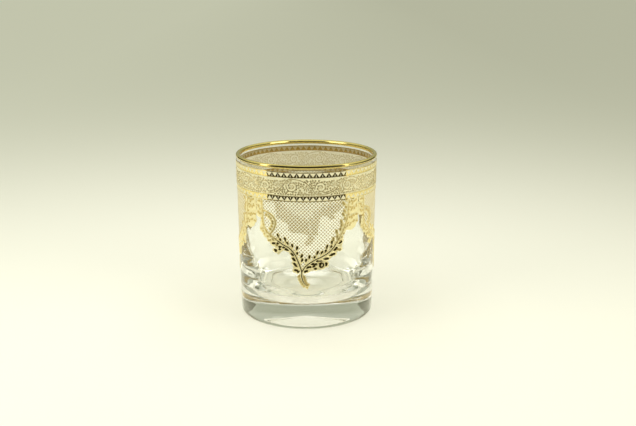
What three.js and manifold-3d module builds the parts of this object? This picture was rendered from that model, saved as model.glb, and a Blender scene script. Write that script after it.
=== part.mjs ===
// Whisky tumbler
//
// A clear, heavy-based glass with fired gold decoration: a gilt lip, two dogtooth borders
// with a scroll frieze between them, and four hanging nets of diamonds in leafy frames.
// Millimetres, +Z up, origin at the centre of the foot. A pendant faces -Y.

import * as THREE from 'three';
import { mergeGeometries, mergeVertices } from 'three/addons/utils/BufferGeometryUtils.js';
import Module from 'manifold-3d';

const wasm = await Module();
wasm.setup();

// Glass
const glassHeight = 95.8;
const rimRadius = 41; // outside of the wall at the lip
const footRadius = 39.2; // where the line of the wall meets the ground
const lipWall = 1.9;
const boreWall = 2.3; // wall where the bore begins to curve in
const floorThickness = 13;
const floorRadius = 25; // flat part of the inner floor
const bowlRise = 47; // height of the curve from the floor to the straight bore
const heelRadius = 3;
const puntRadius = 31; // shallow hollow under the base
const puntDepth = 1.8;

// Gold coats, each a thin sleeve that stands a hair off the glass
const gildGap = 0.12;
const gildThickness = 0.25;
const seam = 0.15; // between one coat and the next

// Gilt lip
const rimBandOutside = 1.4;
const rimBandInside = 2;

// Dogtooth borders, one tooth on each facet of the wall
const toothCount = 72;
const borderDrop = 3.5; // from the lip to the upper border
const borderHeight = 3.2;
const borderRail = 0.5;
const toothTip = 0.7; // width of a tooth at its tip

// Scroll frieze between the borders
const friezeHeight = 9.9;
const scrollCount = 16;
const scrollRadius = 3.4;
const scrollRib = 1.1;
const scrollRelief = 0.2;
const scrollStart = 0.9; // of a half turn from the right
const scrollTurns = 0.75;
const scrollClosing = 0.45; // share of the radius lost over its length
const scrollTaper = 0.5; // share of the rib lost over its length

// Pendants
const pendantCount = 4;
const netDrop = 38;
const netHalfWidth = 24.5;
const tipLean = 3; // how far the tip hangs to the left
const netPitchAcross = 6.8;
const netPitchDown = 8.6;
const netBar = 1.1;
const netEdge = 1; // solid strip along the outline
const leafReachAtTip = 7.4; // beyond the net's edge
const leafReachAtTop = 12.5;
const leafLobes = 8;
const lobeDepth = 3;
const tailDrop = 11.5;
const tailHalfWidth = 2.6;
const leafClearance = 0.3; // between the net and its leaf border

// Smoothness of the round stretches
const facets = toothCount;
const bowlSteps = 6;
const lipSteps = 4;
const heelSteps = 2;
const edgeSteps = 7;
const lobeSteps = 3;
const scrollSteps = 6;
const joinTolerance = 0.002;

// Outside of the glass wall at a height
function wallRadius(z) {
  return footRadius + (rimRadius - footRadius) * z / glassHeight;
}

// Levels that follow from the sizes above
const upperTop = glassHeight - borderDrop;
const upperLow = upperTop - borderHeight;
const friezeTop = upperLow - seam;
const friezeLow = friezeTop - friezeHeight;
const lowerTop = friezeLow - seam;
const lowerLow = lowerTop - borderHeight;
const netTop = lowerLow - seam;
const netTip = netTop - netDrop;
const pendantRadius = wallRadius(netTop);

// Points of an elliptic arc around (r, z), from one angle to the other, both ends included
function arc(r, z, radiusAcross, radiusUp, from, to, steps) {
  const points = [];
  for (let i = 0; i <= steps; i += 1) {
    const angle = from + (to - from) * i / steps;
    points.push(new THREE.Vector2(r + radiusAcross * Math.cos(angle), z + radiusUp * Math.sin(angle)));
  }
  return points;
}

// Turns a profile of (radius, height) points around +Z, with angle 0 at -Y
function revolve(profile) {
  return new THREE.LatheGeometry(profile, facets).rotateX(Math.PI / 2);
}

function toSolid(geometry) {
  const bare = geometry.clone();
  bare.deleteAttribute('normal');
  bare.deleteAttribute('uv');
  const merged = mergeVertices(bare);
  return new wasm.Manifold(new wasm.Mesh({
    numProp: 3,
    vertProperties: merged.attributes.position.array,
    triVerts: Uint32Array.from(merged.index.array),
  }));
}

// Back to a geometry, with the slivers that the cuts left on flat faces merged again
function toGeometry(solid) {
  const { vertProperties, triVerts } = solid.asOriginal().simplify(joinTolerance).getMesh();
  const geometry = new THREE.BufferGeometry();
  geometry.setAttribute('position', new THREE.BufferAttribute(vertProperties, 3));
  geometry.setIndex(new THREE.BufferAttribute(triVerts, 1));
  geometry.computeVertexNormals();
  return geometry;
}

// A coat of gold around the wall between two heights, from and to so far off the glass
function coat(low, high, from = gildGap, to = gildGap + gildThickness) {
  return toSolid(revolve([
    new THREE.Vector2(wallRadius(low) + from, low),
    new THREE.Vector2(wallRadius(low) + to, low),
    new THREE.Vector2(wallRadius(high) + to, high),
    new THREE.Vector2(wallRadius(high) + from, high),
    new THREE.Vector2(wallRadius(low) + from, low),
  ]));
}

// A straight bar with a flat outline, x along the wall and y up, long enough to cut through a coat
// anywhere on the side that it faces. At turn 0 it faces -Y.
function punch(outline, turn = 0) {
  const geometry = new THREE.ExtrudeGeometry(outline, { depth: rimRadius, bevelEnabled: false });
  return geometry.rotateX(Math.PI / 2).translate(0, -rimRadius / 2, 0).rotateZ(turn);
}

function polygon(points) {
  return new THREE.Shape(points.map(([x, y]) => new THREE.Vector2(x, y)));
}

// Where a point so far along the wall from the middle of a pendant lies, seen straight on
function seenAcross(along) {
  return pendantRadius * Math.sin(along / pendantRadius);
}

// Glass body: hollowed foot, rounded heel, straight tapered wall, round lip and a deep curved bowl
function glassBody() {
  const lipRadius = lipWall / 2;
  const lipZ = glassHeight - lipRadius;
  const boreZ = floorThickness + bowlRise;
  const boreRadius = wallRadius(boreZ) - boreWall;
  return revolve([
    new THREE.Vector2(0, puntDepth),
    new THREE.Vector2(puntRadius, 0),
    ...arc(wallRadius(heelRadius) - heelRadius, heelRadius, heelRadius, heelRadius,
      -Math.PI / 2, 0, heelSteps),
    ...arc(wallRadius(lipZ) - lipRadius, lipZ, lipRadius, lipRadius, 0, Math.PI, lipSteps),
    ...arc(floorRadius, boreZ, boreRadius - floorRadius, bowlRise, 0, -Math.PI / 2, bowlSteps),
    new THREE.Vector2(0, floorThickness),
  ]);
}

// Gilt lip: a cap that follows the round of the glass and runs down both sides of it
function rimGilding() {
  const lipRadius = lipWall / 2;
  const lipZ = glassHeight - lipRadius;
  const centre = wallRadius(lipZ) - lipRadius;
  const inside = lipRadius + gildGap;
  const outside = inside + gildThickness;
  const outerLow = glassHeight - rimBandOutside;
  const innerLow = glassHeight - rimBandInside;
  const outerEdge = new THREE.Vector2(centre + inside, outerLow);
  return revolve([
    outerEdge,
    new THREE.Vector2(centre + outside, outerLow),
    ...arc(centre, lipZ, outside, outside, 0, Math.PI, lipSteps),
    new THREE.Vector2(centre - outside, innerLow),
    new THREE.Vector2(centre - inside, innerLow),
    ...arc(centre, lipZ, inside, inside, Math.PI, 0, lipSteps),
    outerEdge,
  ]);
}

// Dogtooth border: a band with a triangular window in every facet, which leaves the teeth between
// its two rails. The windows point down (-1) or up (1).
function dogtoothBorder(low, high, point) {
  const pitch = 2 * Math.PI * wallRadius(low) / toothCount;
  const halfWindow = (pitch - toothTip) / 2;
  const middle = (low + high) / 2;
  const halfHeight = (high - low) / 2 - borderRail;
  const window = polygon([
    [-halfWindow, middle - point * halfHeight],
    [halfWindow, middle - point * halfHeight],
    [0, middle + point * halfHeight],
  ]);
  const windows = [];
  for (let i = 0; i < toothCount; i += 1) {
    windows.push(punch(window, 2 * Math.PI * (i + 0.5) / toothCount));
  }
  return toGeometry(coat(low, high).subtract(toSolid(mergeGeometries(windows))));
}

// Outline of one raised scroll: a tapering ribbon that curls in, up (1) or down (-1)
function scrollOutline(z, curl) {
  const outer = [];
  const inner = [];
  for (let i = 0; i <= scrollSteps; i += 1) {
    const along = i / scrollSteps;
    const angle = curl * Math.PI * (scrollStart - scrollTurns * 2 * along);
    const radius = scrollRadius * (1 - scrollClosing * along);
    const half = scrollRib / 2 * (1 - scrollTaper * along);
    outer.push([(radius + half) * Math.cos(angle), z + (radius + half) * Math.sin(angle)]);
    inner.push([(radius - half) * Math.cos(angle), z + (radius - half) * Math.sin(angle)]);
  }
  return polygon([...outer, ...inner.reverse()]);
}

// Scroll frieze: a band with scrolls in low relief that curl up and down in turn
function scrollFrieze() {
  const middle = (friezeLow + friezeTop) / 2;
  const scrolls = [];
  for (let i = 0; i < scrollCount; i += 1) {
    const outline = scrollOutline(middle, i % 2 === 0 ? 1 : -1);
    scrolls.push(punch(outline, 2 * Math.PI * (i + 0.5) / scrollCount));
  }
  const root = gildGap + gildThickness / 2;
  const crest = gildGap + gildThickness + scrollRelief;
  const relief = coat(friezeLow, friezeTop, root, crest).intersect(toSolid(mergeGeometries(scrolls)));
  return toGeometry(coat(friezeLow, friezeTop).add(relief));
}

// The net's middle line leans aside towards the tip, and its sides swell out from the tip
function netCentre(z) {
  return -tipLean * (netTop - z) / netDrop;
}

function netHalf(z) {
  return netHalfWidth * Math.sin(Math.PI / 2 * (z - netTip) / netDrop);
}

// Closed outline of the net, let out by a margin at its sides and tip
function netOutline(margin) {
  const right = [];
  const left = [];
  for (let i = 1; i <= edgeSteps; i += 1) {
    const z = netTip + netDrop * i / edgeSteps;
    right.push([seenAcross(netCentre(z) + netHalf(z) + margin), z]);
    left.push([seenAcross(netCentre(z) - netHalf(z) - margin), z]);
  }
  const tip = [seenAcross(netCentre(netTip)), netTip - margin];
  return polygon([tip, ...right, ...left.reverse()]);
}

// Diamond windows of the net, as many as fit inside its edge strip. Their columns lean with the net.
function netWindows() {
  const across = netPitchAcross / 2;
  const up = netPitchDown / 2;
  const shrink = 1 - netBar / 2 * Math.hypot(across, up) / (across * up);
  const rows = Math.floor(netDrop / up);
  const columns = Math.ceil(netHalfWidth / netPitchAcross);
  const windows = [];
  for (let row = 1; row < rows; row += 1) {
    const z = netTop - netEdge - row * up;
    for (let column = -columns; column <= columns; column += 1) {
      const x = (column + (row % 2) / 2) * netPitchAcross;
      const corners = [[-across, 0], [0, -up], [across, 0], [0, up]]
        .map(([dx, dz]) => [dx * shrink, z + dz * shrink]);
      if (corners.every(([dx, cz]) => Math.abs(x + dx) < netHalf(cz) - netEdge)) {
        const leaning = corners.map(([dx, cz]) => [dx + netCentre(cz) - netCentre(z), cz]);
        windows.push(punch(polygon(leaning), (x + netCentre(z)) / pendantRadius));
      }
    }
  }
  return windows;
}

// Lattice: a panel cut to the net's outline and pierced with its diamonds
function lattice() {
  const panel = coat(netTip, netTop).intersect(toSolid(punch(netOutline(0))));
  return toGeometry(panel.subtract(toSolid(mergeGeometries(netWindows()))));
}

// Half width of the leaf border at a height: beside the net it reaches further out towards the top,
// and below the tip it narrows into the tail
function leafHalf(z) {
  if (z >= netTip) {
    const rise = (z - netTip) / netDrop;
    return netHalf(z) + leafReachAtTip + (leafReachAtTop - leafReachAtTip) * rise;
  }
  const fall = (netTip - z) / tailDrop;
  return tailHalfWidth + (leafReachAtTip - tailHalfWidth) * (1 - fall) ** 2;
}

// Outline of the leaf border: lobes along both sides, which stop where the next pendant begins
function leafOutline() {
  const halfPitch = Math.PI * pendantRadius / pendantCount - seam;
  const tailTip = netTip - tailDrop;
  const steps = leafLobes * lobeSteps;
  const right = [];
  const left = [];
  for (let i = 1; i <= steps; i += 1) {
    const z = tailTip + (netTop - tailTip) * i / steps;
    const notch = lobeDepth * (1 - Math.abs(Math.sin(Math.PI * i / lobeSteps)));
    const reach = leafHalf(z) - Math.min(notch, leafHalf(z) / 2);
    right.push([seenAcross(Math.min(netCentre(z) + reach, halfPitch)), z]);
    left.push([seenAcross(Math.max(netCentre(z) - reach, -halfPitch)), z]);
  }
  const tip = [seenAcross(netCentre(tailTip)), tailTip];
  return polygon([tip, ...right, ...left.reverse()]);
}

// Leaf border: the lobed outline with the net's place cut out of it
function leafBorder() {
  const band = coat(netTip - tailDrop, netTop).intersect(toSolid(punch(leafOutline())));
  return toGeometry(band.subtract(toSolid(punch(netOutline(leafClearance)))));
}

const clearGlass = { color: 0xe4ebe2, roughness: 0.03, metalness: 0, transparent: true, opacity: 0.35 };
const polishedGold = { color: 0xd9b24a, roughness: 0.12, metalness: 1 };
const mattGold = { color: 0xdccb93, roughness: 0.5, metalness: 0.6 };
const leafGold = { color: 0xe0c56a, roughness: 0.3, metalness: 1 };

const tumbler = new THREE.Group();

function place(name, geometry, finish, turn = 0) {
  const mesh = new THREE.Mesh(geometry, new THREE.MeshStandardMaterial(finish));
  mesh.name = name;
  mesh.rotation.z = turn;
  tumbler.add(mesh);
}

place('glass_body', glassBody(), clearGlass);
place('rim_gilding', rimGilding(), polishedGold);
place('upper_border', dogtoothBorder(upperLow, upperTop, -1), polishedGold);
place('scroll_frieze', scrollFrieze(), mattGold);
place('lower_border', dogtoothBorder(lowerLow, lowerTop, 1), polishedGold);

const latticeGeometry = lattice();
const leafGeometry = leafBorder();
for (let i = 0; i < pendantCount; i += 1) {
  const turn = 2 * Math.PI * i / pendantCount;
  place(`lattice_${i + 1}`, latticeGeometry, mattGold, turn);
  place(`leaf_border_${i + 1}`, leafGeometry, leafGold, turn);
}

export default tumbler;
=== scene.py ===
import math

import bmesh
import bpy
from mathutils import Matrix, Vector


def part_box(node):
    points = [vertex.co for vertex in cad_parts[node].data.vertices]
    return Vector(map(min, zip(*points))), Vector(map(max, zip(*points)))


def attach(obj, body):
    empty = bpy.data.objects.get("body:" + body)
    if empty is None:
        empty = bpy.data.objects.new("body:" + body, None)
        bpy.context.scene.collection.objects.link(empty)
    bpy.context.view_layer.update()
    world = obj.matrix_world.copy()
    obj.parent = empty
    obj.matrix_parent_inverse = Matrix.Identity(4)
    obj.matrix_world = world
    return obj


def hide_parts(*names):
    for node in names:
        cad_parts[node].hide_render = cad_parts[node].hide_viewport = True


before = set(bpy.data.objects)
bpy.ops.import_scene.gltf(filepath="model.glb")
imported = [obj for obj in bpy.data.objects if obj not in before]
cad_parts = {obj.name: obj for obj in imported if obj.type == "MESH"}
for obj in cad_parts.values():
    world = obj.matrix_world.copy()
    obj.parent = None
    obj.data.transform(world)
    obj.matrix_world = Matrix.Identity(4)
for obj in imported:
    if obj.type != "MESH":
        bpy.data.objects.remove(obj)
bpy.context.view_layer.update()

# Whisky tumbler: clear glass with a gilt lip, two dogtooth borders, a scroll frieze and four hanging
# nets in leafy frames. The tumbler's shapes are worked out in millimetres and made in metres.
MM = 0.001
BODY = "root"


def level(node):
    """Lowest and highest z of a CAD node, in millimetres."""
    low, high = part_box(node)
    return low.z / MM, high.z / MM


# Glass, as in the CAD model
GLASS_HEIGHT = level("glass_body")[1]
RIM_RADIUS = 41.0
FOOT_RADIUS = 39.2
LIP_WALL = 1.9
BORE_WALL = 2.3
FLOOR_THICKNESS = 13.0
FLOOR_RADIUS = 25.0
BOWL_RISE = 47.0
HEEL_RADIUS = 3.0
PUNT_RADIUS = 31.0
PUNT_DEPTH = 1.8

# Slight waves and rings in the bowl, and a groove around its floor
WAVE_HEIGHT = 0.1
WAVE_COUNT = 5
WAVE_TWIST = 0.16
RING_HEIGHT = 0.14
RING_COUNT = 6
RING_CROWDING = 0.7
GROOVE_RADIUS = 22.5
GROOVE_HALF = 1.2
GROOVE_DEPTH = 0.5

# Fineness of the glass, with narrow bands that keep the shading of straight and round stretches apart
TURN_STEPS = 288
PUNT_STEPS = 6
HEEL_STEPS = 8
LIP_STEPS = 16
BOWL_STEPS = 72
GROOVE_STEPS = 8
FLOOR_STEPS = 4
WALL_LEVELS = (10, 30, 50, 70)
BORE_LEVELS = (85, 75)
EDGE_BAND = 0.2
NEAR_AXIS = 1e-6

# Heights off the glass. Undersides lie just under its skin, so that the gold is bonded to the glass
NET_ROOT = -0.03
COAT_ROOT = -0.05
STROKE_ROOT = -0.055
LEAF_ROOT = -0.06
LEAF_STEP = 0.0015
LEAF_LAYERS = 24
GROUND_TOP = 0.08
NET_TOP = 0.03
FILM_TOP = 0.01
DOT_TOP = 0.06
TOOTH_TOP = 0.15
RAIL_TOP = 0.24
CURL_RIM = 0.13
CURL_TOP = 0.22
LEAF_RIM = 0.08
LEAF_CROWN = 0.36
STEM_RIM = 0.32
STEM_CROWN = 0.37
DROP_TOP = 0.42
FLAT_CROWN = 0.02

# Sections and outlines of raised forms, as shares of their width
DOME_RINGS = (1, 0.72, 0.4)
RIBBON_SHOULDER = 0.55
RAIL_SECTION = (-0.97, -0.85, -0.65, 0.65, 0.85, 0.97)
LOBE_FULLNESS = 1.3
SPIRAL_EASE = 0.8

# Gilt lip
RIM_BAND_OUTSIDE = 1.6
RIM_BAND_INSIDE = 2.0
RIM_COAT = 0.3
RIM_EDGE_TURN = 0.9
RIM_EDGE_STEPS = 8
RIM_STEPS = 20

# Borders, with the teeth's width as a share of their pitch and the cores' size as shares of the teeth
TOOTH_COUNT = 72
RAIL_WIDTH = 0.5
TOOTH_SHARE = 0.97
CORE_WIDTH = 0.15
CORE_RISE = 0.75

# Frieze: large scrolls, one up and one down in each repeat, with small curls in the gaps
SCROLL_COUNT = 16
SCROLL_RADIUS = 3.5
SCROLL_EYE = 0.9
SCROLL_TURNS = 1.6
SCROLL_TILT = 0.08
SCROLL_SHIFT = 0.3
SCROLL_STEPS = 36
SCROLL_THINNING = 0.3
STROKE_HALF = 0.26
STROKE_THINNING = 0.4
EYE_PETAL_COUNT = 5
EYE_PETAL_OFF = 0.25
EYE_PETAL_LENGTH = 0.8
EYE_PETAL_WIDTH = 0.45
SPIRAL_LEAF_PLACES = range(3, 27, 3)
SPIRAL_LEAF_LENGTH = 1.6
SPIRAL_LEAF_SHRINK = 0.02
SPIRAL_LEAF_WIDTH = 0.8
SPIRAL_LEAF_LEAN = 0.8
SPIRAL_LEAF_BEND = 0.6
PALMETTE_DROP = 0.4
PALMETTE_OFF = 0.7
PALMETTE_SPREAD = 0.55
PALMETTE_LENGTH = 2.4
PALMETTE_SHRINK = 0.3
PALMETTE_WIDTH = 0.6
PALMETTE_FOOT_SPREAD = 0.7
PALMETTE_FOOT_LENGTH = 1.8
PETAL_POINTS = 10
CURL_RADIUS = 0.55
CURL_GAP = 0.84
CURL_SEARCH = 0.3
CURL_TURNS = 1.0
CURL_STEPS = 10
GOLDEN_ANGLE = math.radians(137.5)

# Stem of a scroll, as (share of the pitch from the scroll's centre, height over the middle) points
SCROLL_STEM = [(-1 / 2, 2.2), (-1 / 3, -0.4), (-1 / 8, -4.2), (1 / 4, -3.9), (1 / 2, -2.2)]
SCROLL_STEM_STEPS = 6

# Pendants, as (along the wall, height) points of their stems and of the edges of their leaves
PENDANT_COUNT = 4
LEFT_STEM = [
    (-2.7, 35.3), (-4.9, 41.5), (-7.0, 45.8), (-9.8, 48.9), (-12.8, 50.4), (-19.3, 54.2), (-23.4, 57.0),
    (-25.8, 60.4), (-26.4, 65.0), (-26.8, 75.4),
]
RIGHT_STEM = [
    (-2.7, 35.3), (-1.2, 37.8), (1.2, 40.1), (4.7, 42.2), (8.3, 43.8), (12.0, 45.7), (15.0, 48.2),
    (17.3, 51.4), (20.4, 56.1), (22.8, 60.9), (24.4, 66.0), (25.2, 75.4),
]
LEFT_EDGE = [
    (-4.9, 33.3), (-8.2, 34.7), (-7.8, 38.4), (-8.1, 41.3), (-8.8, 45.0), (-11.0, 47.0), (-13.6, 47.6),
    (-14.8, 45.6), (-16.7, 44.2), (-18.7, 46.2), (-18.2, 48.5), (-21.5, 50.4), (-25.2, 54.0),
    (-28.0, 56.6), (-28.8, 59.5), (-27.8, 62.5), (-28.2, 65.4), (-31.2, 64.6), (-31.2, 75.4),
]
RIGHT_EDGE = [
    (-0.3, 33.4), (1.9, 35.3), (4.7, 36.3), (7.6, 36.1), (10.6, 36.7), (12.0, 39.1), (11.3, 41.0),
    (13.5, 42.3), (16.6, 44.1), (18.2, 46.2), (20.6, 46.5), (21.4, 50.1), (20.8, 52.4), (22.2, 55.9),
    (23.6, 58.0), (27.4, 57.2), (30.3, 58.7), (31.6, 61.0), (32.4, 62.0), (32.4, 75.4),
]
LEFT_CURL = [(-21.7, 55.7), (-18.9, 59.5), (-17.9, 63.2), (-19.6, 66.6), (-23.0, 68.6), (-26.3, 69.4)]
TAIL = [(-2.7, 35.5), (-2.8, 32.4), (-1.9, 29.3), (-0.4, 27.2), (1.0, 27.6)]

# Stems, and how far from a pendant's middle their engraved lines and the commas are bright
STEM_HALF = 0.8
STEM_LINE_HALF = 0.27
CURL_HALF = 0.6
TAIL_HALVES = [0.8, 0.9, 0.8, 0.6, 0.4]
BRIGHT_REACH = 16.5

# Leaves, with leans, bends and turns in radians. A comma's size is a share of its leaf's
LEAF_LENGTH = 3.2
SHOULDER_LEAF_LENGTH = 1.8
LEAF_WIDTH = 2.4
LEAF_FULLNESS = 0.8
LEAF_OVERLAP = 1.3
LEAF_GAP = 1.9
LEAF_LEANS = (0.85, 1.15)
LEAF_BEND = 0.35
FOOT_LEANS = (2.3, 1.75)
LEAST_LEAF = 1.4
LEAF_POINTS = 16
COMMA_START = 0.3
COMMA_LENGTH = 0.5
COMMA_WIDTH = 0.6
COMMA_POINTS = 12
LEAFLET_LENGTH = 4.3
LEAFLET_WIDTH = 2.1
LEAFLET_GAP = 2.3
LEAFLET_LEAN = 1.15
LEAFLET_TURN = 0.2
LEAFLET_UNEVEN = 0.25
LEAFLET_COMMA_START = 0.42
LEAFLET_COMMA_LENGTH = 0.55
CURL_LEAF_LEAN = 1.1
CURL_LEAF_BEND = 0.4
CURL_CLEARANCE = 2
TAIL_LEAF_LENGTH = 3.7
TAIL_LEAF_SHRINK = 0.5
TAIL_LEAF_WIDTH = 2.1
TAIL_LEAF_GAP = 1.5
TAIL_LEAF_LEAN = 0.95
TAIL_LEAF_BEND = 0.4

# Round leaf, whose dark stroke grows wider as it winds in
ROUND_LEAF = (8.3, 38.9)
ROUND_LEAF_RADIUS = 2.3
ROUND_LEAF_EYE = 0.6
ROUND_LEAF_START = math.radians(150)
ROUND_LEAF_TURNS = 1.2
ROUND_LEAF_STEPS = 24
ROUND_LEAF_STROKE = 1.3

# Sheet under the leaves, and the search for its edge
SHEET_STEP = 0.8
SHEET_SPANS = 4
ROOM_STEP = 0.3
ROOM_LIMIT = 14.0

# Nets
NET_PITCH = 2.05
NET_LINE = 0.25
NET_DOT = 0.31
NET_ROWS = 50

# Patterns that all gold finishes share: their scales, how sharply shades change, and the depth of the grain
SPECK_SCALE = 900
RUB_SCALE = 160
SHADE_SPAN = (0.35, 0.65)
GRAIN_DEPTH = 0.05 * MM

# Colours of the film in the nets, from the front to a slant
FILM_SHADES = [(0.2, (0.97, 0.89, 0.55)), (0.7, (0.9, 0.73, 0.3))]


def wall_radius(z):
    """Outside of the glass wall at a height."""
    return FOOT_RADIUS + (RIM_RADIUS - FOOT_RADIUS) * z / GLASS_HEIGHT


PENDANT_TOP = level("lattice_1")[1]
PENDANT_RADIUS = wall_radius(PENDANT_TOP)


def on_wall(along, z, off):
    """A point so far along the wall from its front, at a height, and so far off the glass."""
    angle = along / PENDANT_RADIUS
    radius = wall_radius(z) + off
    return radius * math.sin(angle), -radius * math.cos(angle), z


class Shape:
    """Points and faces of one piece, in millimetres, with a material number for each face."""

    def __init__(self):
        self.points = []
        self.faces = []
        self.finishes = []

    def add(self, points, faces, finish=0):
        self.points.extend(points)
        self.add_faces(faces, finish, len(points))

    def add_faces(self, faces, finish, count):
        """Faces on the last points that were added, so many of them."""
        start = len(self.points) - count
        self.faces.extend([tuple(start + i for i in face) for face in faces])
        self.finishes.extend([finish] * len(faces))


def make(name, shape, materials, node, crease=40):
    """The piece itself: a mesh with outward faces that stands for a CAD node."""
    mesh = bpy.data.meshes.new(name)
    mesh.from_pydata([(x * MM, y * MM, z * MM) for x, y, z in shape.points], [], shape.faces)
    for material in materials:
        mesh.materials.append(material)
    mesh.polygons.foreach_set("material_index", shape.finishes)
    work = bmesh.new()
    work.from_mesh(mesh)
    bmesh.ops.recalc_face_normals(work, faces=work.faces)
    work.to_mesh(mesh)
    work.free()
    mesh.shade_smooth()
    mesh.set_sharp_from_angle(angle=math.radians(crease))
    return put(name, mesh, node)


def put(name, mesh, node, turn=0.0):
    """Places a mesh in the scene as a piece of the tumbler."""
    piece = bpy.data.objects.new(name, mesh)
    piece.rotation_euler.z = turn
    bpy.context.collection.objects.link(piece)
    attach(piece, BODY)
    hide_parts(node)
    return piece


def arc(r, z, across, up, start, end, steps):
    """Points of an elliptic arc around (r, z), both ends included."""
    angles = [start + (end - start) * i / steps for i in range(steps + 1)]
    return [(r + across * math.cos(a), z + up * math.sin(a)) for a in angles]


def turned(shape, profile, closed=False, finishes=None):
    """Adds a profile of (radius, height) points, turned around the axis."""
    rings = []
    points = []
    for radius, z in profile:
        count = 1 if radius < NEAR_AXIS else TURN_STEPS
        rings.append([len(points) + i for i in range(count)])
        for i in range(count):
            angle = 2 * math.pi * i / TURN_STEPS
            points.append((radius * math.sin(angle), -radius * math.cos(angle), z))
    bands = list(zip(rings, rings[1:] + rings[:1]))
    if not closed:
        bands.pop()
    start = len(shape.points)
    shape.points.extend(points)
    for number, (low, high) in enumerate(bands):
        for i in range(TURN_STEPS):
            corners = [
                low[i % len(low)], low[(i + 1) % len(low)],
                high[(i + 1) % len(high)], high[i % len(high)],
            ]
            shape.faces.append(tuple(start + c for c in dict.fromkeys(corners)))
            shape.finishes.append(finishes[number] if finishes else 0)


def sleeve(shape, low, high, finish, back):
    """Adds a plain coat around the wall. Its underside, seen through the glass, has its own finish."""
    profile = [
        (wall_radius(low) + COAT_ROOT, low),
        (wall_radius(low) + GROUND_TOP, low),
        (wall_radius(high) + GROUND_TOP, high),
        (wall_radius(high) + COAT_ROOT, high),
    ]
    turned(shape, profile, closed=True, finishes=[finish, finish, finish, back])


def rail(shape, z, finish, back):
    """Adds a line around the wall, flat on top with rounded shoulders."""
    half = RAIL_WIDTH / 2
    profile = [(wall_radius(z + side * half) + STROKE_ROOT, z + side * half) for side in (1, -1)]
    for side in RAIL_SECTION:
        height = z + side * half
        profile.append((wall_radius(height) + RAIL_TOP * (1 - side ** 4), height))
    turned(shape, profile, closed=True, finishes=[back] + [finish] * (len(profile) - 1))


def dome(shape, outline, root, rim, crown, finish=0, under=None):
    """Adds a small raised form: a flat outline on the wall, an edge, and rings that rise to its crown."""
    count = len(outline)
    middle = (sum(p[0] for p in outline) / count, sum(p[1] for p in outline) / count)

    def ring(share, off):
        return [
            on_wall(middle[0] + (a - middle[0]) * share, middle[1] + (z - middle[1]) * share, off)
            for a, z in outline
        ]

    points = ring(1, root)
    for share in DOME_RINGS:
        points += ring(share, rim + (crown - rim) * (1 - share * share))
    points += [on_wall(*middle, root), on_wall(*middle, crown)]
    bottom, top = len(points) - 2, len(points) - 1
    last = len(DOME_RINGS) * count
    floor_faces = [(bottom, (i + 1) % count, i) for i in range(count)]
    faces = []
    for i in range(count):
        j = (i + 1) % count
        for low in range(0, last, count):
            high = low + count
            faces.append((low + i, low + j, high + j, high + i))
        faces.append((last + i, last + j, top))
    shape.add(points, floor_faces, finish if under is None else under)
    shape.add_faces(faces, finish, len(points))


def ribbon(shape, line, halves, root, rim, crown, finish=0, under=None):
    """Adds a raised line along the wall, with a half width at each point and a rounded top."""
    shoulder = (rim + 2 * crown) / 3
    section = [
        (-1, root), (-1, rim), (-RIBBON_SHOULDER, shoulder), (0, crown),
        (RIBBON_SHOULDER, shoulder), (1, rim), (1, root),
    ]
    points = []
    for i, (along, z) in enumerate(line):
        before, after = line[max(i - 1, 0)], line[min(i + 1, len(line) - 1)]
        run, rise = after[0] - before[0], after[1] - before[1]
        length = math.hypot(run, rise)
        for side, off in section:
            shift = side * halves[i] / length
            points.append(on_wall(along - rise * shift, z + run * shift, off))
    width = len(section)
    faces = [tuple(range(width)), tuple(range(len(points) - width, len(points)))]
    floor_faces = []
    for i in range(len(line) - 1):
        here, there = i * width, (i + 1) * width
        for k in range(width - 1):
            faces.append((here + k, here + k + 1, there + k + 1, there + k))
        floor_faces.append((here + width - 1, here, there, there + width - 1))
    shape.add(points, floor_faces, finish if under is None else under)
    shape.add_faces(faces, finish, len(points))


def smooth_line(knots, steps=8):
    """A smooth curve through the knots."""
    before = [2 * knots[0][k] - knots[1][k] for k in (0, 1)]
    after = [2 * knots[-1][k] - knots[-2][k] for k in (0, 1)]
    padded = [before, *knots, after]
    line = []
    for a, b, c, d in zip(padded, padded[1:], padded[2:], padded[3:]):
        for i in range(steps):
            t = i / steps
            line.append(tuple(
                0.5 * (2 * b[k] + (c[k] - a[k]) * t + (2 * a[k] - 5 * b[k] + 4 * c[k] - d[k]) * t * t
                       + (3 * b[k] - a[k] - 3 * c[k] + d[k]) * t ** 3)
                for k in (0, 1)
            ))
    return line + [tuple(knots[-1])]


def step_from(point, direction, length):
    """The point so far away in a direction."""
    return point[0] + length * math.cos(direction), point[1] + length * math.sin(direction)


def drop(base, direction, length, width, bend, steps):
    """Outline of a leaf lobe: pointed where it leaves its base, round at its end, bent to one side."""
    outline = []
    for i in range(steps):
        turn = 2 * math.pi * i / steps
        reach = length * (1 - math.cos(turn)) / 2
        side = width / 2 * math.sin(turn) * math.sin(turn / 2) * LOBE_FULLNESS
        angle = direction + bend * reach / length
        outline.append((
            base[0] + reach * math.cos(angle) - side * math.sin(angle + bend * reach / length),
            base[1] + reach * math.sin(angle) + side * math.cos(angle + bend * reach / length),
        ))
    return outline


def triangle(base, half, rise, steps=4):
    """Outline of a tooth on the middle of its base, with a few points on each side."""
    corners = [(base[0] - half, base[1]), (base[0] + half, base[1]), (base[0], base[1] + rise)]
    outline = []
    for a, b in zip(corners, corners[1:] + corners[:1]):
        for k in range(steps):
            share = k / steps
            outline.append((a[0] + (b[0] - a[0]) * share, a[1] + (b[1] - a[1]) * share))
    return outline


def disc(centre, radius, steps=8):
    """Outline of a dot."""
    angles = [2 * math.pi * i / steps for i in range(steps)]
    return [(centre[0] + radius * math.cos(a), centre[1] + radius * math.sin(a)) for a in angles]


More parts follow.
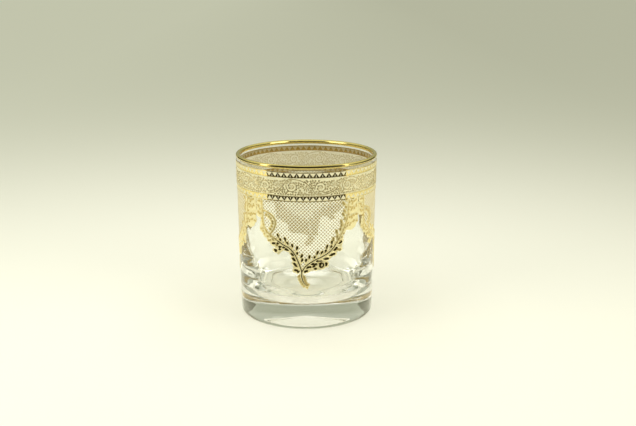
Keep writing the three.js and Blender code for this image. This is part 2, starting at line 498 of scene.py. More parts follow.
def spiral(centre, start, hand, radius, eye, turns, steps):
    """Points of a scroll that winds in around its eye."""
    line = []
    for i in range(steps + 1):
        share = i / steps
        angle = start + hand * 2 * math.pi * turns * share
        reach = radius + (eye - radius) * share ** SPIRAL_EASE
        line.append((centre[0] + reach * math.cos(angle), centre[1] + reach * math.sin(angle)))
    return line


# Materials


def new_material(name):
    material = bpy.data.materials.new(name)
    material.use_nodes = True
    return material, material.node_tree.nodes, material.node_tree.links


def noise(nodes, links, scale, detail):
    """A noise pattern fixed to the piece."""
    place = nodes.new("ShaderNodeTexCoord")
    texture = nodes.new("ShaderNodeTexNoise")
    texture.inputs["Scale"].default_value = scale
    texture.inputs["Detail"].default_value = detail
    links.new(place.outputs["Object"], texture.inputs["Vector"])
    return texture.outputs["Fac"]


def spread(nodes, links, value, low, high, start=0.0, end=1.0):
    """A value that runs from low to high while another runs from start to end."""
    node = nodes.new("ShaderNodeMapRange")
    limits = {"From Min": start, "From Max": end, "To Min": low, "To Max": high}
    for socket, limit in limits.items():
        node.inputs[socket].default_value = limit
    links.new(value, node.inputs["Value"])
    return node.outputs["Result"]


def shaded(nodes, links, value, stops):
    """A colour that follows a value, with stops of (place, colour)."""
    node = nodes.new("ShaderNodeValToRGB")
    elements = node.color_ramp.elements
    for _ in stops[2:]:
        elements.new(0.5)
    for element, (place, colour) in zip(elements, stops):
        element.position = place
        element.color = (*colour, 1)
    links.new(value, node.inputs["Fac"])
    return node.outputs["Color"]


def add_relief(nodes, links, pattern, strength, depth):
    """Gives the surface a fine relief."""
    relief = nodes.new("ShaderNodeBump")
    relief.inputs["Strength"].default_value = strength
    relief.inputs["Distance"].default_value = depth
    links.new(pattern, relief.inputs["Height"])
    links.new(relief.outputs["Normal"], nodes["Principled BSDF"].inputs["Normal"])


def mix_surface(nodes, links, share, first, second):
    """Makes the surface a mix of two shaders, by the share of the second."""
    either = nodes.new("ShaderNodeMixShader")
    links.new(share, either.inputs["Fac"])
    links.new(first.outputs["BSDF"], either.inputs[1])
    links.new(second.outputs["BSDF"], either.inputs[2])
    links.new(either.outputs["Shader"], nodes["Material Output"].inputs["Surface"])


def gold(name, shades, metallic=0.0, roughness=(0.45, 0.6), grain=2500, bump=0.3, frosted=0.0):
    """A gold finish of varied colour and roughness, with a fine grain. A frosted coat lets light through."""
    material, nodes, links = new_material(name)
    shader = nodes["Principled BSDF"]
    shader.inputs["Metallic"].default_value = metallic
    shader.inputs["Transmission Weight"].default_value = frosted
    specks = noise(nodes, links, SPECK_SCALE, detail=3)
    colour = shaded(nodes, links, specks, list(zip(SHADE_SPAN, shades)))
    links.new(colour, shader.inputs["Base Color"])
    rubbed = spread(nodes, links, noise(nodes, links, RUB_SCALE, detail=2), *roughness)
    links.new(rubbed, shader.inputs["Roughness"])
    add_relief(nodes, links, noise(nodes, links, grain, detail=2), bump, GRAIN_DEPTH)
    return material


def clear_glass():
    """Glass that lets lamps through, with the slight waves of a pressed wall."""
    material, nodes, links = new_material("clear_glass")
    shader = nodes["Principled BSDF"]
    shader.inputs["Base Color"].default_value = (0.985, 0.99, 0.96, 1)
    shader.inputs["Transmission Weight"].default_value = 1
    shader.inputs["IOR"].default_value = 1.5
    haze = spread(nodes, links, noise(nodes, links, scale=45, detail=2), low=0.0, high=0.03)
    links.new(haze, shader.inputs["Roughness"])
    waves = noise(nodes, links, scale=60, detail=1)
    add_relief(nodes, links, waves, strength=0.06, depth=0.2 * MM)
    through = nodes.new("ShaderNodeBsdfTransparent")
    through.inputs["Color"].default_value = (0.965, 0.97, 0.95, 1)
    rays = nodes.new("ShaderNodeLightPath")
    mix_surface(nodes, links, rays.outputs["Is Shadow Ray"], shader, through)
    return material


def etched_film():
    """A thin etched film on the glass: nearly clear from the front, golden where it is seen at a slant."""
    material, nodes, links = new_material("etched_film")
    shader = nodes["Principled BSDF"]
    shader.inputs["Roughness"].default_value = 0.6
    slant = nodes.new("ShaderNodeLayerWeight").outputs["Facing"]
    links.new(shaded(nodes, links, slant, FILM_SHADES), shader.inputs["Base Color"])
    cover = spread(nodes, links, slant, low=0.2, high=0.7, start=0.1, end=0.8)
    mix_surface(nodes, links, cover, nodes.new("ShaderNodeBsdfTransparent"), shader)
    return material


CLEAR_GLASS = clear_glass()
POLISHED = gold(
    "polished_gold", [(0.93, 0.75, 0.26), (0.98, 0.82, 0.34)],
    metallic=1.0, roughness=(0.05, 0.12), grain=500, bump=0.05,
)
SATIN = gold(
    "satin_gold", [(0.68, 0.56, 0.27), (0.8, 0.68, 0.36)],
    metallic=0.7, roughness=(0.22, 0.32), bump=0.2,
)
ETCHED = gold("etched_underside", [(0.54, 0.45, 0.24), (0.64, 0.55, 0.31)], frosted=0.2)
SCROLL_BACK = gold("scroll_underside", [(0.63, 0.56, 0.34), (0.73, 0.65, 0.42)])
DOT = gold(
    "net_dot", [(0.32, 0.2, 0.04), (0.42, 0.28, 0.08)],
    metallic=0.4, roughness=(0.35, 0.5), bump=0.2,
)
LEAF_BACK = gold(
    "leaf_underside", [(0.42, 0.3, 0.05), (0.52, 0.38, 0.08)],
    roughness=(0.4, 0.55), bump=0.2,
)
UNDERSIDE = gold(
    "gold_underside", [(0.34, 0.21, 0.03), (0.44, 0.28, 0.05)],
    metallic=0.3, roughness=(0.4, 0.55), bump=0.2,
)
PALE = gold("pale_gold", [(0.92, 0.85, 0.58), (0.97, 0.91, 0.66)], frosted=0.15)
GROUND = gold(
    "frieze_ground", [(0.94, 0.86, 0.56), (0.98, 0.93, 0.67)],
    grain=3000, bump=0.5, frosted=0.2,
)
# Underside of the frieze ground, seen through the glass: the ground's own coat, lighter and less yellow than
# the ground. Its extra lightness is painted light for the dim inside of the glass.
GROUND_BACK_PAINTED_LIGHT = gold(
    "frieze_underside_painted_light", [(0.97, 0.92, 0.72), (0.99, 0.96, 0.8)],
    grain=3000, bump=0.5, frosted=0.2,
)
LEAF = gold(
    "leaf_gold", [(0.93, 0.81, 0.43), (0.98, 0.89, 0.54)],
    metallic=0.38, roughness=(0.25, 0.38), grain=1800,
)
NET = gold("net_gold", [(0.98, 0.95, 0.8), (0.99, 0.97, 0.87)], roughness=(0.35, 0.5))
VEIN = gold(
    "leaf_vein", [(0.66, 0.5, 0.17), (0.77, 0.6, 0.24)],
    metallic=0.7, roughness=(0.25, 0.38), grain=1800, bump=0.2,
)
FILM = etched_film()


# Glass body


def bore_radius(z):
    """Inside of the straight part of the wall, which thins a little towards the lip."""
    bore_z = FLOOR_THICKNESS + BOWL_RISE
    lip_z = GLASS_HEIGHT - LIP_WALL / 2
    share = (z - bore_z) / (lip_z - bore_z)
    return wall_radius(z) - BORE_WALL - (LIP_WALL - BORE_WALL) * share


def waved(point):
    """Moves a point of the bowl by the slight rings and waves that pressing leaves in thick glass."""
    x, y, z = point
    radius = math.hypot(x, y)
    depth = wall_radius(z) - radius
    in_bowl = FLOOR_THICKNESS < z < FLOOR_THICKNESS + BOWL_RISE and depth > BORE_WALL / 2
    if not in_bowl:
        return point
    angle = math.atan2(y, x)
    height = (z - FLOOR_THICKNESS) / BOWL_RISE
    wave = WAVE_HEIGHT * math.sin(math.pi * height) * math.sin(WAVE_COUNT * angle + WAVE_TWIST * z)
    ring = RING_HEIGHT * (1 - height) ** 2 * math.sin(2 * math.pi * RING_COUNT * height ** RING_CROWDING)
    grow = 1 + (wave + ring) / radius
    return x * grow, y * grow, z


def glass_body():
    lip = LIP_WALL / 2
    lip_z = GLASS_HEIGHT - lip
    bore_z = FLOOR_THICKNESS + BOWL_RISE
    bore = wall_radius(bore_z) - BORE_WALL
    heel = wall_radius(HEEL_RADIUS) - HEEL_RADIUS
    wall_levels = (HEEL_RADIUS + EDGE_BAND, *WALL_LEVELS, lip_z - EDGE_BAND)
    bore_levels = (lip_z - EDGE_BAND, *BORE_LEVELS, bore_z + EDGE_BAND)
    profile = []
    for i in range(PUNT_STEPS + 1):
        profile.append((PUNT_RADIUS * i / PUNT_STEPS, PUNT_DEPTH * (1 - i / PUNT_STEPS)))
    profile += arc(heel, HEEL_RADIUS, HEEL_RADIUS, HEEL_RADIUS, -math.pi / 2, 0, HEEL_STEPS)
    profile += [(wall_radius(z), z) for z in wall_levels]
    profile += arc(wall_radius(lip_z) - lip, lip_z, lip, lip, 0, math.pi, LIP_STEPS)
    profile += [(bore_radius(z), z) for z in bore_levels]
    profile += arc(FLOOR_RADIUS, bore_z, bore - FLOOR_RADIUS, BOWL_RISE, 0, -math.pi / 2, BOWL_STEPS)
    for i in range(GROOVE_STEPS + 1):
        share = 1 - 2 * i / GROOVE_STEPS
        dip = GROOVE_DEPTH * math.cos(math.pi * share / 2) ** 2
        profile.append((GROOVE_RADIUS + GROOVE_HALF * share, FLOOR_THICKNESS - dip))
    for i in reversed(range(FLOOR_STEPS)):
        profile.append((FLOOR_RADIUS * i / FLOOR_STEPS, FLOOR_THICKNESS))
    shape = Shape()
    turned(shape, profile)
    shape.points = [waved(point) for point in shape.points]
    make("glass_body", shape, [CLEAR_GLASS], "glass_body", crease=60)


# Gold around the glass


def rim_gilding():
    lip = LIP_WALL / 2
    lip_z = GLASS_HEIGHT - lip
    centre = wall_radius(lip_z) - lip
    inside = lip + COAT_ROOT
    outside = lip + RIM_COAT
    outer_low = GLASS_HEIGHT - RIM_BAND_OUTSIDE
    inner_low = GLASS_HEIGHT - RIM_BAND_INSIDE
    edge_start = RIM_EDGE_TURN - math.pi / 2
    profile = [(centre + inside, outer_low)]
    profile += arc(centre, lip_z, outside, lip_z - outer_low, edge_start, 0, RIM_EDGE_STEPS)[:-1]
    profile += arc(centre, lip_z, outside, outside, 0, math.pi, RIM_STEPS)
    profile += [(centre - outside, inner_low), (centre - inside, inner_low)]
    profile += arc(centre, lip_z, inside, inside, math.pi, 0, RIM_STEPS)
    shape = Shape()
    turned(shape, profile, closed=True)
    make("rim_gilding", shape, [POLISHED], "rim_gilding", crease=50)


def border(node, point):
    """Dogtooth border: two bright lines on a pale ground, and teeth with a pale core, up (1) or down (-1)."""
    bright, pale, bright_back, pale_back = range(4)
    low, high = level(node)
    shape = Shape()
    sleeve(shape, low, high, pale, pale_back)
    for z in (low + RAIL_WIDTH / 2, high - RAIL_WIDTH / 2):
        rail(shape, z, bright, bright_back)
    pitch = 2 * math.pi * PENDANT_RADIUS / TOOTH_COUNT
    half = pitch * TOOTH_SHARE / 2
    middle = (low + high) / 2
    rise = (high - low) / 2 - RAIL_WIDTH
    for i in range(TOOTH_COUNT):
        base = (pitch * (i + 0.5), middle - point * rise)
        tooth = triangle(base, half, 2 * point * rise)
        dome(shape, tooth, STROKE_ROOT, TOOTH_TOP, TOOTH_TOP + FLAT_CROWN, bright, bright_back)
        core = triangle(base, half * CORE_WIDTH, 2 * point * rise * CORE_RISE)
        dome(shape, core, 0, TOOTH_TOP + FLAT_CROWN, TOOTH_TOP + 2 * FLAT_CROWN, pale)
    make(node, shape, [POLISHED, PALE, UNDERSIDE, ETCHED], node)


class Engraving:
    """Strokes and petals of one repeat of the frieze, and the points that they cover."""

    def __init__(self, repeat):
        self.repeat = repeat
        self.strokes = []
        self.petals = []
        self.covered = []

    def stroke(self, line, thinning=STROKE_THINNING):
        last = len(line) - 1
        halves = [STROKE_HALF * (1 - thinning * i / last) for i in range(last + 1)]
        self.strokes.append((line, halves))
        self.covered += line

    def petal(self, base, direction, length, width, bend=0.0):
        outline = drop(base, direction, length, width, bend, PETAL_POINTS)
        self.petals.append(outline)
        self.covered += outline[::2]

    def is_free(self, point, gap):
        for shift in (-self.repeat, 0, self.repeat):
            if any(math.dist((point[0] + shift, point[1]), other) < gap for other in self.covered):
                return False
        return True

    def put_around(self, shape, finish, under):
        """Adds the repeat to a shape, again and again around the wall."""
        for number in range(SCROLL_COUNT // 2):
            shift = number * self.repeat
            for line, halves in self.strokes:
                moved = [(along + shift, z) for along, z in line]
                ribbon(shape, moved, halves, STROKE_ROOT, CURL_RIM, CURL_TOP, finish, under)
            for outline in self.petals:
                moved = [(along + shift, z) for along, z in outline]
                dome(shape, moved, STROKE_ROOT, CURL_RIM, CURL_TOP, finish, under)


def scroll(drawing, centre, middle, pitch, up):
    """One large scroll: its spiral with leaves and an eye of petals, its stem, and a palmette beside it."""
    start = math.pi * (1 + SCROLL_TILT * up)
    line = spiral(centre, start, -up, SCROLL_RADIUS, SCROLL_EYE, SCROLL_TURNS, SCROLL_STEPS)
    drawing.stroke(line, SCROLL_THINNING)
    for k in range(EYE_PETAL_COUNT):
        direction = 2 * math.pi * k / EYE_PETAL_COUNT
        base = step_from(centre, direction, EYE_PETAL_OFF)
        drawing.petal(base, direction, EYE_PETAL_LENGTH, EYE_PETAL_WIDTH)
    for k in SPIRAL_LEAF_PLACES:
        a, b = line[k], line[k + 1]
        direction = math.atan2(b[1] - a[1], b[0] - a[0]) + up * SPIRAL_LEAF_LEAN
        length = SPIRAL_LEAF_LENGTH - SPIRAL_LEAF_SHRINK * k
        drawing.petal(a, direction, length, SPIRAL_LEAF_WIDTH, -up * SPIRAL_LEAF_BEND)
    stem = [(centre[0] + pitch * share, middle + up * height) for share, height in SCROLL_STEM]
    drawing.stroke(smooth_line(stem, SCROLL_STEM_STEPS), 0.0)
    palmette(drawing, stem[-1], middle, up)


def palmette(drawing, foot, middle, up):
    """A fan of five petals over the end of a stem, with two more at its foot."""
    heart = (foot[0], middle - up * PALMETTE_DROP)
    for k in (-2, -1, 0, 1, 2):
        direction = up * (math.pi / 2 + PALMETTE_SPREAD * k)
        length = PALMETTE_LENGTH - PALMETTE_SHRINK * abs(k)
        drawing.petal(step_from(heart, direction, PALMETTE_OFF), direction, length, PALMETTE_WIDTH)
    for k in (-1, 1):
        direction = up * (PALMETTE_FOOT_SPREAD * k - math.pi / 2)
        drawing.petal(foot, direction, PALMETTE_FOOT_LENGTH, PALMETTE_WIDTH)


def small_curls(drawing, low, high):
    """Small open curls wherever the large scrolls leave room."""
    rows = int((high - low) / CURL_SEARCH)
    columns = int(drawing.repeat / CURL_SEARCH)
    count = 0
    for row in range(rows):
        for column in range(columns):
            point = (column * CURL_SEARCH, low + row * CURL_SEARCH)
            if drawing.is_free(point, CURL_GAP):
                start = count * GOLDEN_ANGLE
                eye = CURL_RADIUS / 3
                drawing.stroke(spiral(point, start, 1, CURL_RADIUS, eye, CURL_TURNS, CURL_STEPS))
                count += 1


def scroll_frieze():
    ground, raised, raised_back, ground_back_painted_light = range(4)
    low, high = level("scroll_frieze")
    middle = (low + high) / 2
    pitch = 2 * math.pi * PENDANT_RADIUS / SCROLL_COUNT
    drawing = Engraving(2 * pitch)
    scroll(drawing, (pitch * 0.5, middle - SCROLL_SHIFT), middle, pitch, 1)
    scroll(drawing, (pitch * 1.5, middle + SCROLL_SHIFT), middle, pitch, -1)
    margin = CURL_RADIUS + STROKE_HALF
    small_curls(drawing, low + margin, high - margin)
    shape = Shape()
    # The ground's underside takes the lighter finish, with painted light for the dim inside.
    sleeve(shape, low, high, ground, ground_back_painted_light)
    drawing.put_around(shape, raised, raised_back)
    make("scroll_frieze", shape, [GROUND, SATIN, SCROLL_BACK, GROUND_BACK_PAINTED_LIGHT], "scroll_frieze")


# Pendants


def at_height(line, z):
    """How far along the wall a rising line is at a height."""
    for (a, low), (b, high) in zip(line, line[1:]):
        if low <= z <= high:
            return a + (b - a) * (z - low) / (high - low)
    return line[0][0] if z < line[0][1] else line[-1][0]


LEFT_LINE = smooth_line(LEFT_STEM)
RIGHT_LINE = smooth_line(RIGHT_STEM)


def in_net(along, z):
    """True between the two stems and under them."""
    low, high = LEFT_STEM[0][1], PENDANT_TOP + NET_PITCH / 2
    left = at_height(LEFT_LINE, z) - STEM_HALF
    right = at_height(RIGHT_LINE, z) + STEM_HALF
    return low < z <= high and left < along < right


def lattice():
    """A net of fine diagonal lines with a thin film and a dot in each diamond."""
    net, dot, film = range(3)
    half = NET_PITCH / 2
    window = 1 - NET_LINE * math.sqrt(2) / NET_PITCH
    shape = Shape()
    knots = {}
    edges = {}
    steps = [(-1, 0), (0, 1), (1, 0), (0, -1)]

    def knot(place):
        """Numbers of the lower and the upper point where lines cross."""
        if place not in knots:
            along, z = place[0] * half, PENDANT_TOP - place[1] * half
            knots[place] = (len(shape.points), len(shape.points) + 1)
            shape.points += [on_wall(along, z, NET_ROOT), on_wall(along, z, NET_TOP)]
        return knots[place]

    for row in range(NET_ROWS):
        for column in range(row % 2 - NET_ROWS, NET_ROWS, 2):
            middle = (column * half, PENDANT_TOP - row * half)
            if not all(in_net(middle[0] + a * half, middle[1] - b * half) for a, b in steps):
                continue
            places = [(column + a, row + b) for a, b in steps]
            low = [knot(place)[0] for place in places]
            high = [knot(place)[1] for place in places]
            start = len(shape.points)
            inner = half * window
            for off in (NET_TOP, FILM_TOP):
                shape.points += [on_wall(middle[0] + a * inner, middle[1] - b * inner, off) for a, b in steps]
            shape.faces += [tuple(low), tuple(range(start + 4, start + 8))]
            shape.finishes += [film, film]
            for k in range(4):
                n = (k + 1) % 4
                shape.faces.append((high[k], high[n], start + n, start + k))
                shape.faces.append((start + k, start + n, start + 4 + n, start + 4 + k))
                shape.finishes += [net, net]
                sides = edges.setdefault(frozenset((places[k], places[n])), [])
                sides.append((low[k], low[n], high[n], high[k]))
            dome(shape, disc(middle, NET_DOT), NET_ROOT, NET_TOP, DOT_TOP, dot)
    for sides in edges.values():
        if len(sides) == 1:
            shape.faces.append(sides[0])
            shape.finishes.append(net)
    return shape


def at_share(values, share):
    """The value at a share of the way through a list of them."""
    place = share * (len(values) - 1)
    before = min(int(place), len(values) - 2)
    return values[before] + (values[before + 1] - values[before]) * (place - before)


def is_inside(point, outline):
    """True where a point lies inside a closed outline."""
    along, z = point
    crossings = 0
    for (a, low), (b, high) in zip(outline, outline[1:] + outline[:1]):
        if (low > z) != (high > z) and along < a + (b - a) * (z - low) / (high - low):
            crossings += 1
    return crossings % 2 == 1


def stations(line, gap):
    """Points at even distances along a line, each with the line's heading there."""
    found = []
    ahead = gap
    for a, b in zip(line, line[1:]):
        length = math.dist(a, b)
        heading = math.atan2(b[1] - a[1], b[0] - a[0])
        while ahead < length:
            share = ahead / length
            found.append(((a[0] + (b[0] - a[0]) * share, a[1] + (b[1] - a[1]) * share), heading))
            ahead += gap
        ahead -= length
    return found


def room(point, direction, outline):
    """How far one can go from a point before leaving a closed outline."""
    reach = 2 * ROOM_STEP
    while reach < ROOM_LIMIT and is_inside(step_from(point, direction, reach + ROOM_STEP), outline):
        reach += ROOM_STEP
    return reach


def in_front(point):
    """True where the gold of a pendant is engraved with bright marks."""
    return abs(point[0]) < BRIGHT_REACH


class Foliage:
    """Leaves and engraved marks of one leaf border. Each leaf lies a hair above the one before."""

    LEAF, BRIGHT, UNDER, VEIN = range(4)

    def __init__(self):
        self.shape = Shape()
        self.count = 0

    def mark(self, point):
        """Finish of an engraved mark at a point."""
        return self.BRIGHT if in_front(point) else self.VEIN

    def leaf(self, base, direction, length, width, bend, mark,
             comma_start=COMMA_START, comma_length=COMMA_LENGTH, comma_turn=0.0):
        """One leaf, with a comma engraved in it."""
        lift = LEAF_STEP * (self.count % LEAF_LAYERS)
        self.count += 1
        outline = drop(base, direction, length, width, bend, LEAF_POINTS)
        dome(self.shape, outline, LEAF_ROOT + lift, LEAF_RIM + lift, LEAF_CROWN + lift, under=self.UNDER)
        heading = direction + bend * comma_start
        start = step_from(base, heading, comma_start * length)
        size = (length * comma_length, COMMA_WIDTH * width)
        comma = drop(start, heading + comma_turn, *size, bend, COMMA_POINTS)
        dome(self.shape, comma, 0, DROP_TOP - FLAT_CROWN, DROP_TOP, mark)

    def stem(self, line, halves):
        """A pale stem with one engraved line along it, bright near the front."""
        ribbon(self.shape, line, halves, LEAF_ROOT, STEM_RIM, STEM_CROWN, self.LEAF, self.UNDER)
        split = next((k for k, p in enumerate(line) if abs(p[0]) > BRIGHT_REACH), len(line) - 1)
        for part, finish in ((line[:split + 1], self.BRIGHT), (line[split:], self.VEIN)):
            if len(part) > 1:
                thin = [STEM_LINE_HALF] * len(part)
                ribbon(self.shape, part, thin, 0, DROP_TOP - FLAT_CROWN, DROP_TOP, finish)

    def leaflets(self, line, hand):
        """Short leaves, each with a comma, on the inner side of a stem."""
        for number, (point, heading) in enumerate(stations(line, LEAFLET_GAP)[1:]):
            vary = math.sin(number * GOLDEN_ANGLE)
            direction = heading + hand * (LEAFLET_LEAN + LEAFLET_TURN * vary)
            length = LEAFLET_LENGTH * (1 + LEAFLET_UNEVEN * vary)
            self.leaf(point, direction, length, LEAFLET_WIDTH, -LEAF_BEND * hand, self.mark(point),
                      LEAFLET_COMMA_START, LEAFLET_COMMA_LENGTH)

    def curl_leaves(self, line):
        """Leaves on the outer side of a curled stem."""
        for point, heading in stations(line, LEAFLET_GAP)[:-1]:
            self.leaf(point, heading + CURL_LEAF_LEAN, LEAF_LENGTH, LEAFLET_WIDTH, CURL_LEAF_BEND, self.VEIN)

    def round_leaf(self):
        """A leaf rolled into a scroll, low on the right, with a dark stroke that winds into its eye."""
        outline = disc(ROUND_LEAF, ROUND_LEAF_RADIUS, ROUND_LEAF_STEPS)
        dome(self.shape, outline, 0, DROP_TOP, DROP_TOP + FLAT_CROWN, self.LEAF)
        reach = ROUND_LEAF_RADIUS - 2 * STEM_LINE_HALF
        line = spiral(
            ROUND_LEAF, ROUND_LEAF_START, -1, reach, ROUND_LEAF_EYE, ROUND_LEAF_TURNS, ROUND_LEAF_STEPS,
        )
        halves = [STEM_LINE_HALF * (ROUND_LEAF_STROKE + k / len(line)) for k in range(len(line))]
        top = DROP_TOP + 3 * FLAT_CROWN
        ribbon(self.shape, line, halves, 0, top, top + FLAT_CROWN, self.BRIGHT)

    def tail(self):
        """The tail below the tip: a short stem between two rows of leaves that grow smaller."""
        line = smooth_line(TAIL)
        last = len(line) - 1
        places = stations(line, TAIL_LEAF_GAP)
        for number, (point, heading) in enumerate(places):
            length = TAIL_LEAF_LENGTH * (1 - TAIL_LEAF_SHRINK * number / len(places))
            for hand in (-1, 1):
                direction = heading + hand * TAIL_LEAF_LEAN
                self.leaf(point, direction, length, TAIL_LEAF_WIDTH, -TAIL_LEAF_BEND * hand, self.VEIN)
        self.stem(line, [at_share(TAIL_HALVES, k / last) for k in range(last + 1)])

    def sheet(self, line, outline, hand):
        """A thin pale sheet under the leaves, from a stem to the edge of the border."""
        flat = []
        for point, heading in stations(line, SHEET_STEP):
            direction = heading - hand * math.pi / 2
            reach = room(point, direction, outline)
            flat += [step_from(point, direction, reach * k / SHEET_SPANS) for k in range(SHEET_SPANS + 1)]
        count = len(flat)
        width = SHEET_SPANS + 1
        rows = count // width
        points = [on_wall(*point, off) for off in (LEAF_ROOT, LEAF_RIM) for point in flat]
        low = []
        for i in range(rows - 1):
            for k in range(SHEET_SPANS):
                here = i * width + k
                low.append((here, here + 1, here + width + 1, here + width))
        high = [tuple(i + count for i in face) for face in low]
        first_row = list(range(width))
        outer_ends = [i * width + width - 1 for i in range(1, rows)]
        last_row = list(range(count - 2, count - width - 1, -1))
        inner_ends = [i * width for i in range(rows - 2, 0, -1)]
        around = first_row + outer_ends + last_row + inner_ends
        sides = [(a, b, b + count, a + count) for a, b in zip(around, around[1:] + around[:1])]
        self.shape.add(points, low, self.UNDER)
        self.shape.add_faces(high + sides, self.LEAF, len(points))

    def mass(self, line, edge, hand):
        """Leaves that grow from a stem, in one row or more, as far as the edge of the border."""
        outline = line + edge[::-1]
        bend = LEAF_BEND * hand
        self.sheet(line, outline, hand)
        places = stations(line, LEAF_GAP)
        foot, heading = places[0]
        for lean in FOOT_LEANS:
            direction = heading - hand * lean
            self.leaf(foot, direction, room(foot, direction, outline), LEAF_WIDTH, bend, self.BRIGHT)
        for number, (point, heading) in enumerate(places):
            direction = heading - hand * LEAF_LEANS[number % len(LEAF_LEANS)]
            reach = room(point, direction, outline)
            if reach < LEAST_LEAF:
                continue
            size = LEAF_LENGTH if in_front(point) else SHOULDER_LEAF_LENGTH
            rows = max(1, round(reach / size))
            length = LEAF_OVERLAP * reach / rows
            width = min(LEAF_WIDTH, LEAF_FULLNESS * length)
            for row in reversed(range(rows)):
                base = step_from(point, direction, reach * row / rows)
                turn = 0.0 if in_front(base) else math.pi * math.sin(self.count * GOLDEN_ANGLE)
                self.leaf(base, direction, length, width, bend, self.mark(base), comma_turn=turn)


def leaf_border():
    leaves = Foliage()
    leaves.mass(LEFT_LINE, LEFT_EDGE, -1)
    leaves.mass(RIGHT_LINE, RIGHT_EDGE, 1)
    curl = smooth_line(LEFT_CURL)
    below_curl = [p for p in LEFT_LINE if p[1] < LEFT_CURL[0][1] - CURL_CLEARANCE]
    leaves.leaflets(below_curl, -1)
    leaves.leaflets(RIGHT_LINE, 1)
    leaves.curl_leaves(curl)
    leaves.round_leaf()
    leaves.stem(curl, [CURL_HALF] * len(curl))
    leaves.stem(LEFT_LINE, [STEM_HALF] * len(LEFT_LINE))
    leaves.stem(RIGHT_LINE, [STEM_HALF] * len(RIGHT_LINE))
    leaves.tail()
    return leaves.shape


def pendants():
    """The four nets and leaf borders: one of each is made, and the others share its mesh."""
    leaf_finishes = [LEAF, POLISHED, LEAF_BACK, VEIN]
    first_net = make("lattice_1", lattice(), [NET, DOT, FILM], "lattice_1")
    first_leaves = make("leaf_border_1", leaf_border(), leaf_finishes, "leaf_border_1")
    for i in range(1, PENDANT_COUNT):
        turn = 2 * math.pi * i / PENDANT_COUNT
        put(f"lattice_{i + 1}", first_net.data, f"lattice_{i + 1}", turn)
        put(f"leaf_border_{i + 1}", first_leaves.data, f"leaf_border_{i + 1}", turn)


glass_body()
rim_gilding()
border("upper_border", 1)
border("lower_border", -1)
scroll_frieze()
pendants()


# Floor, light and camera, in metres

# Light of the surroundings, as (sine of the height above the horizon, colour)
WORLD_LIGHT = [
    (0.0, (0.1, 0.1, 0.07)),
    (0.08, (0.345, 0.366, 0.262)),
    (0.38, (0.36, 0.383, 0.27)),
    (0.55, (0.61, 0.63, 0.51)),
    (1.0, (0.74, 0.77, 0.65)),
]
LAMP_AIM = (0.0, 0.0, 0.05)
FRONT_LAMP_COLOUR = (1.0, 0.97, 0.88)

# The floor lies a hair under the foot. Its colours are those at the left (0) and the right end (1) of a span
FLOOR_REACH = 12.0
FLOOR_LEVEL = -0.05 * MM
FLOOR_SPAN = 0.45
# The darker right end is painted shade: light falling off to the right, painted into the floor's colour.
FLOOR_PAINTED_FALLOFF = [(0.0, (0.9, 0.885, 0.81)), (1.0, (0.77, 0.755, 0.68))]

# Dark cards around the tumbler
CARD_STEPS = 28
SIDE_CARD_X = 0.26
SIDE_CARD_TOP = 0.17

# Camera, as fitted to the photograph
CAMERA_PLACE = (0.0, -0.56211, 0.20442)
CAMERA_TILT = 0.2531
CAMERA_TURN = 0.0121
CAMERA_LENS = 55.35
CAMERA_SENSOR = 36


def stage_mesh(name, points, faces, material):
    """A mesh around the tumbler that is no piece of it."""
    mesh = bpy.data.meshes.new(name)
    mesh.from_pydata(points, [], faces)
    mesh.materials.append(material)
    thing = bpy.data.objects.new(name, mesh)
    bpy.context.collection.objects.link(thing)
    return thing


def matt_material(name, roughness):
    """A material without gloss, and its shader."""
    material, nodes, _ = new_material(name)
    shader = nodes["Principled BSDF"]
    shader.inputs["Roughness"].default_value = roughness
    shader.inputs["Specular IOR Level"].default_value = 0.0
    return material, shader


def floor():
    """A pale paper floor with painted shade: its colour is a little darker to the right, as light falling off
    to that side would make it.
    """
    material, shader = matt_material("floor", roughness=0.9)
    nodes, links = material.node_tree.nodes, material.node_tree.links
    place = nodes.new("ShaderNodeTexCoord")
    across = nodes.new("ShaderNodeSeparateXYZ")
    links.new(place.outputs["Object"], across.inputs["Vector"])
    share = spread(nodes, links, across.outputs["X"], 0.0, 1.0, start=-FLOOR_SPAN, end=FLOOR_SPAN)
    links.new(shaded(nodes, links, share, FLOOR_PAINTED_FALLOFF), shader.inputs["Base Color"])
    corners = [(-1, -1), (1, -1), (1, 1), (-1, 1)]
    points = [(FLOOR_REACH * x, FLOOR_REACH * y, FLOOR_LEVEL) for x, y in corners]
    stage_mesh("floor", points, [(0, 1, 2, 3)], material)


def dark_material(name, colour):
    material, shader = matt_material(name, roughness=1.0)
    shader.inputs["Base Color"].default_value = (*colour, 1)
    return material


def dark_card(name, points, faces, material, reflected):
    """A card of a studio's dark side, seen only in reflections or else only through the glass."""
    card = stage_mesh(name, points, faces, material)
    card.visible_camera = False
    card.visible_diffuse = False
    card.visible_shadow = False
    card.visible_glossy = reflected
    card.visible_transmission = not reflected


def curved_card(name, radius, half_angle, low, high, material):
    """A dark card bent around the front of the tumbler, for reflections."""
    points = []
    for i in range(CARD_STEPS + 1):
        angle = math.radians(half_angle * (2 * i / CARD_STEPS - 1))
        points += [(radius * math.sin(angle), -radius * math.cos(angle), z) for z in (low, high)]
    faces = [(2 * i, 2 * i + 2, 2 * i + 3, 2 * i + 1) for i in range(CARD_STEPS)]
    dark_card(name, points, faces, material, True)


def side_card(name, side, low, front, back_low, back_high, material, reflected):
    """A flat dark card at the left (-1) or the right (1)."""
    x = SIDE_CARD_X * side
    points = [(x, front, low), (x, back_low, low), (x, back_high, SIDE_CARD_TOP), (x, front, SIDE_CARD_TOP)]
    dark_card(name, points, [(0, 1, 2, 3)], material, reflected)


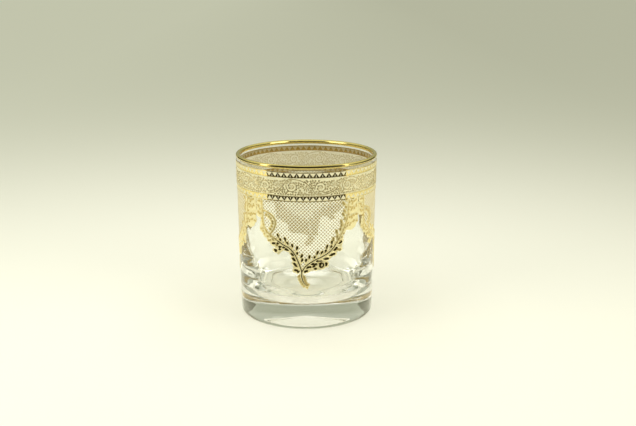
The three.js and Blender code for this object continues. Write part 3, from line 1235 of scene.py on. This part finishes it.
def dark_cards():
    """Cards that polished gold at the front, the lip and the far rim reflect, and flags for grey edges."""
    black = dark_material("dark_card", (0.04, 0.036, 0.025))
    grey = dark_material("dark_flag", (0.16, 0.16, 0.11))
    curved_card("front_card", radius=0.1, half_angle=53, low=0.0, high=0.09, material=black)
    curved_card("lip_card", radius=0.065, half_angle=45, low=0.085, high=0.17, material=black)
    for side, name in ((-1, "left"), (1, "right")):
        side_card(f"{name}_flag", side, low=0.03, front=-0.12, back_low=0.55, back_high=0.3,
                  material=grey, reflected=False)
        side_card(f"{name}_card", side, low=0.06, front=-0.08, back_low=0.3, back_high=0.3,
                  material=black, reflected=True)


def softbox(name, place, size, power, colour):
    """A square lamp that looks at the middle of the tumbler."""
    light = bpy.data.lights.new(name, "AREA")
    light.shape = "SQUARE"
    light.size = size
    light.energy = power
    light.color = colour
    lamp = bpy.data.objects.new(name, light)
    lamp.location = place
    run = [LAMP_AIM[k] - place[k] for k in range(3)]
    lamp.rotation_euler = (math.atan2(math.hypot(run[0], run[1]), -run[2]), 0, math.atan2(-run[0], run[1]))
    bpy.context.collection.objects.link(lamp)
    return lamp


def studio_world():
    """Soft light from all round, dim near the horizon and brightest overhead."""
    world = bpy.data.worlds.new("studio")
    world.use_nodes = True
    nodes, links = world.node_tree.nodes, world.node_tree.links
    place = nodes.new("ShaderNodeTexCoord")
    height = nodes.new("ShaderNodeSeparateXYZ")
    links.new(place.outputs["Generated"], height.inputs["Vector"])
    light = shaded(nodes, links, height.outputs["Z"], WORLD_LIGHT)
    links.new(light, nodes["Background"].inputs["Color"])
    bpy.context.scene.world = world


def lamps():
    overhead = softbox("overhead", place=(0.0, -0.01, 0.45), size=0.58, power=1.42, colour=(0.95, 0.93, 0.93))
    overhead.visible_glossy = False
    softbox("right_front", place=(0.46, -0.36, 0.34), size=0.4, power=1.22, colour=FRONT_LAMP_COLOUR)
    softbox("left_front", place=(-0.52, -0.28, 0.34), size=0.4, power=1.12, colour=FRONT_LAMP_COLOUR)


def photo_camera():
    camera = bpy.data.cameras.new("camera")
    camera.sensor_width = CAMERA_SENSOR
    camera.lens = CAMERA_LENS
    eye = bpy.data.objects.new("camera", camera)
    eye.location = CAMERA_PLACE
    eye.rotation_euler = (math.pi / 2 - CAMERA_TILT, 0, -CAMERA_TURN)
    bpy.context.collection.objects.link(eye)
    bpy.context.scene.camera = eye


def picture_settings():
    """The plain view transform, and enough bounces for light to pass through glass and gold."""
    scene = bpy.context.scene
    scene.view_settings.view_transform = "Standard"
    scene.cycles.max_bounces = 32
    scene.cycles.glossy_bounces = 24
    scene.cycles.transmission_bounces = 32
    scene.cycles.transparent_max_bounces = 24


floor()
dark_cards()
studio_world()
lamps()
photo_camera()
picture_settings()
